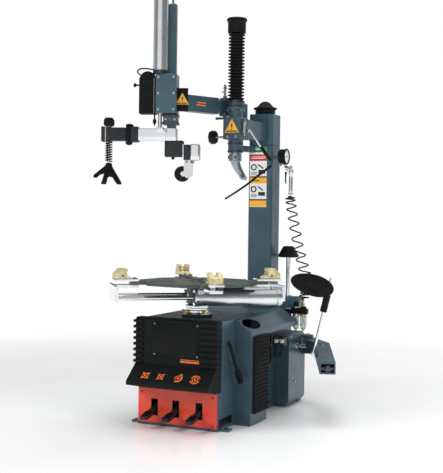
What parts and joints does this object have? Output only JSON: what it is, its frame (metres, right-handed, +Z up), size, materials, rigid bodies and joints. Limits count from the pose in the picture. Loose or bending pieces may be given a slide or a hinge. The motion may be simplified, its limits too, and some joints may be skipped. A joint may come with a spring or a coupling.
{
  "type": "tire changer machine",
  "caption": "Floor-standing swing-arm tyre changer: cabinet with pedals, clamping turntable, column with mount tool, pneumatic helper arm and side bead breaker.",
  "frame": {"origin": "on the floor under the turntable axis", "axes": "+Z up, -Y towards the operator and the pedals, +X towards the bead breaker"},
  "size_m": [1.1274, 1.0846, 2.066],
  "materials": {
    "slate_paint": "semi-gloss slate blue-grey powder coat",
    "orange_paint": "semi-gloss red-orange powder coat",
    "black_plastic": "fine-grained black moulding",
    "chrome": "polished hard chrome",
    "bare_steel": "turned and brushed",
    "aluminium": "drawn aluminium tube",
    "zinc_jaw": "yellow zinc plated",
    "cast_iron": "dark painted casting",
    "rubber": "moulded black rubber",
    "brass": "brass fittings with clear bowls"
  },
  "bodies": {
    "root": {"cabinet_shell": "slate_paint", "front_cover": "black_plastic", "pedal_panel": "orange_paint", "pedal_valve_block": "aluminium", "wheel_rest_pad": "rubber", "rear_side_cover": "slate_paint", "turntable_gearbox": "cast_iron", "drive_motor": "slate_paint", "drive_belt": "rubber", "bead_cylinder": "aluminium", "column": "slate_paint", "column_cap": "black_plastic", "pressure_gauge": "black_plastic", "inflator_gun": "aluminium", "coiled_hose": "rubber", "air_unit": "brass", "centering_cone": "black_plastic", "pry_bar": "cast_iron"},
    "pedal_left": {"pedal_left": "cast_iron"},
    "pedal_middle": {"pedal_middle": "cast_iron"},
    "pedal_right": {"pedal_right": "cast_iron"},
    "turntable": {"turntable_plate": "cast_iron"},
    "jaw_right": {"jaw_slide_right": "chrome", "jaw_claw_right": "zinc_jaw", "clamp_barrel_a": "aluminium", "clamp_barrel_b": "aluminium"},
    "jaw_left": {"jaw_slide_left": "chrome", "jaw_claw_left": "zinc_jaw", "clamp_rod_a": "chrome", "clamp_rod_b": "chrome"},
    "jaw_back": {"jaw_slide_back": "chrome", "jaw_claw_back": "zinc_jaw"},
    "jaw_front": {"jaw_slide_front": "chrome", "jaw_claw_front": "zinc_jaw"},
    "gearbox_pulley": {"gearbox_pulley": "aluminium"},
    "motor_pulley": {"motor_pulley": "aluminium"},
    "swing_arm": {"swing_arm": "slate_paint", "spring_bellows": "rubber"},
    "tool_shaft": {"tool_shaft": "bare_steel", "mount_head": "bare_steel"},
    "tyre_lever": {"tyre_lever": "cast_iron"},
    "lock_knob": {"lock_knob": "black_plastic"},
    "lock_handle": {"lock_handle": "chrome"},
    "helper_link": {"helper_link": "slate_paint"},
    "helper_beam": {"helper_beam": "slate_paint", "press_cylinder": "aluminium", "control_box": "black_plastic"},
    "control_lever": {"control_lever": "black_plastic"},
    "press_carriage": {"press_mast": "slate_paint", "cross_arm": "chrome"},
    "press_rod": {"press_rod": "chrome"},
    "tripod_foot": {"tripod_foot": "cast_iron"},
    "roller_arm": {"roller_arm": "chrome"},
    "press_roller": {"press_roller": "rubber"},
    "bead_arm": {"bead_arm": "slate_paint"},
    "bead_piston_rod": {"bead_piston_rod": "chrome"},
    "shovel_rod": {"shovel_rod": "chrome"},
    "bead_shovel": {"bead_shovel": "black_plastic"},
    "gun_trigger": {"gun_trigger": "black_plastic"},
    "regulator_knob": {"regulator_knob": "black_plastic"}
  },
  "joints": [
    {"name": "table_spin", "type": "hinge", "parent": "root", "child": "turntable", "pos_m": [0, 0, 0.5], "axis": [0, 0, 1], "continuous": true},
    {"name": "jaw_right_slide", "type": "slide", "parent": "turntable", "child": "jaw_right", "axis": [-0.788, -0.6157, 0], "range_m": [0, 0.165]},
    {"name": "jaw_back_slide", "type": "slide", "parent": "turntable", "child": "jaw_back", "axis": [0.6157, -0.788, 0], "range_m": [0, 0.165]},
    {"name": "jaw_left_slide", "type": "slide", "parent": "turntable", "child": "jaw_left", "axis": [0.788, 0.6157, 0], "range_m": [0, 0.165]},
    {"name": "jaw_front_slide", "type": "slide", "parent": "turntable", "child": "jaw_front", "axis": [-0.6157, 0.788, 0], "range_m": [0, 0.165]},
    {"name": "gearbox_pulley_spin", "type": "hinge", "parent": "root", "child": "gearbox_pulley", "pos_m": [0.113, 0.072, 0.34], "axis": [1, 0, 0], "continuous": true},
    {"name": "motor_pulley_spin", "type": "hinge", "parent": "root", "child": "motor_pulley", "pos_m": [0.113, 0.33, 0.34], "axis": [1, 0, 0], "continuous": true},
    {"name": "pedal_left_press", "type": "hinge", "parent": "root", "child": "pedal_left", "pos_m": [-0.114, -0.03, 0.1], "axis": [1, 0, 0], "range_deg": [-4, 5]},
    {"name": "pedal_middle_press", "type": "hinge", "parent": "root", "child": "pedal_middle", "pos_m": [-0.006, -0.03, 0.1], "axis": [1, 0, 0], "range_deg": [0, 5]},
    {"name": "pedal_right_press", "type": "hinge", "parent": "root", "child": "pedal_right", "pos_m": [0.11, -0.03, 0.1], "axis": [1, 0, 0], "range_deg": [0, 5]},
    {"name": "swing_arm_turn", "type": "hinge", "parent": "root", "child": "swing_arm", "pos_m": [0.06, 0.66, 1.4], "axis": [0, 0, 1], "range_deg": [0, 100]},
    {"name": "tool_plunge", "type": "slide", "parent": "swing_arm", "child": "tool_shaft", "axis": [0, 0, -1], "range_m": [0, 0.25], "deforming": ["spring_bellows"]},
    {"name": "tyre_lever_swing", "type": "hinge", "parent": "tool_shaft", "child": "tyre_lever", "pos_m": [0.133, 0.271, 1.111], "axis": [0, 0, 1], "range_deg": [-10, 10]},
    {"name": "lock_knob_turn", "type": "hinge", "parent": "swing_arm", "child": "lock_knob", "pos_m": [-0.06, 0.28, 1.34], "axis": [1, 0, 0], "range_deg": [0, 270]},
    {"name": "lock_handle_lift", "type": "hinge", "parent": "swing_arm", "child": "lock_handle", "pos_m": [0.118, 0.3, 1.37], "axis": [1, 0, 0], "range_deg": [-20, 40]},
    {"name": "helper_link_turn", "type": "hinge", "parent": "root", "child": "helper_link", "pos_m": [-0.028, 0.545, 1.49], "axis": [0, 0, -1], "range_deg": [0, 80]},
    {"name": "helper_beam_turn", "type": "hinge", "parent": "helper_link", "child": "helper_beam", "pos_m": [-0.017, 0.32, 1.49], "axis": [0, 0, -1], "range_deg": [-15, 75]},
    {"name": "control_lever_tilt", "type": "hinge", "parent": "helper_beam", "child": "control_lever", "pos_m": [-0.27812, -0.06966, 1.562], "axis": [-0.3355, 0.9421, 0], "range_deg": [-8, 8]},
    {"name": "press_plunge", "type": "slide", "parent": "helper_beam", "child": "press_carriage", "axis": [0, 0, -1], "range_m": [0, 0.35]},
    {"name": "press_rod_feed", "type": "slide", "parent": "press_carriage", "child": "press_rod", "axis": [0, 0, 1], "range_m": [0, 0.06]},
    {"name": "tripod_foot_swivel", "type": "hinge", "parent": "press_rod", "child": "tripod_foot", "pos_m": [-0.43568, -0.0833, 1.18], "axis": [0, 0, 1], "continuous": true},
    {"name": "roller_arm_swivel", "type": "hinge", "parent": "press_carriage", "child": "roller_arm", "pos_m": [-0.0711, 0.04652, 1.23], "axis": [0, 0, 1], "range_deg": [-60, 60]},
    {"name": "press_roller_spin", "type": "hinge", "parent": "roller_arm", "child": "press_roller", "pos_m": [-0.1077, 0.04198, 1.15], "axis": [-0.3355, 0.9421, 0], "continuous": true},
    {"name": "bead_arm_turn", "type": "hinge", "parent": "root", "child": "bead_arm", "pos_m": [0.305, 0.69, 0.297], "axis": [0, 0, -1], "range_deg": [-12, 8]},
    {"name": "bead_piston_stroke", "type": "slide", "parent": "root", "child": "bead_piston_rod", "axis": [-1, 0, 0], "range_m": [-0.03, 0.03]},
    {"name": "shovel_rod_swing", "type": "hinge", "parent": "bead_arm", "child": "shovel_rod", "pos_m": [0.46276, 0.31588, 0.303], "axis": [0.9026, 0.3702, -0.2198], "range_deg": [0, 100]},
    {"name": "bead_shovel_turn", "type": "hinge", "parent": "shovel_rod", "child": "bead_shovel", "pos_m": [0.52704, 0.34224, 0.61127], "axis": [0.2034, 0.0834, 0.9755], "range_deg": [0, 90]},
    {"name": "gun_trigger_squeeze", "type": "hinge", "parent": "root", "child": "gun_trigger", "pos_m": [0.205, 0.608, 1.182], "axis": [0, 1, 0], "range_deg": [-4, 0]},
    {"name": "regulator_knob_turn", "type": "hinge", "parent": "root", "child": "regulator_knob", "pos_m": [0.262, 0.622, 0.507], "axis": [0, 0, 1], "continuous": true}
  ],
  "couplings": [
    {"joint": "jaw_back_slide", "follows": "jaw_right_slide", "ratio": 1},
    {"joint": "jaw_left_slide", "follows": "jaw_right_slide", "ratio": 1},
    {"joint": "jaw_front_slide", "follows": "jaw_right_slide", "ratio": 1},
    {"joint": "motor_pulley_spin", "follows": "table_spin", "ratio": 34.118},
    {"joint": "gearbox_pulley_spin", "follows": "table_spin", "ratio": 20},
    {"joint": "bead_piston_stroke", "follows": "bead_arm_turn", "m_per_rad": 0.09}
  ]
}
